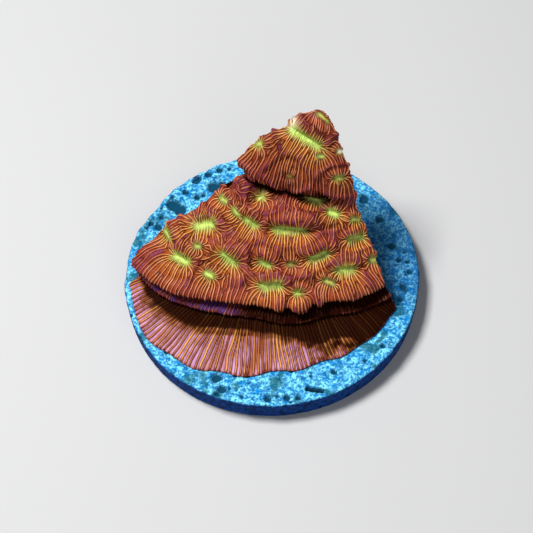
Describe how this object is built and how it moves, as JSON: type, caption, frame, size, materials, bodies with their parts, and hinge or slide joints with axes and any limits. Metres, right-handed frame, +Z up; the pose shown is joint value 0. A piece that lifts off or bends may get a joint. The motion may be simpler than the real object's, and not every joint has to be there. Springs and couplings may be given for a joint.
{
  "type": "plating brain coral fragment on a round frag disc",
  "caption": "Pie-shaped slice of plating coral with ribbed terraces, an overhanging lip and a spreading skirt, on a round porous disc.",
  "frame": {"origin": "centre of the disc's flat underside", "axes": "+Z up, through the disc's centre; the coral's growing face slopes down towards -Y, and +X is to its right"},
  "size_m": [0.032, 0.032, 0.0205],
  "materials": {
    "coral_tissue": "wet living tissue, brick red with orange ribs and green polyp mouths",
    "porous_ceramic": "rough porous cast ceramic, pale blue with dark pores"
  },
  "bodies": {
    "root": {"coral_colony": "coral_tissue", "frag_disc": "porous_ceramic"}
  },
  "joints": []
}
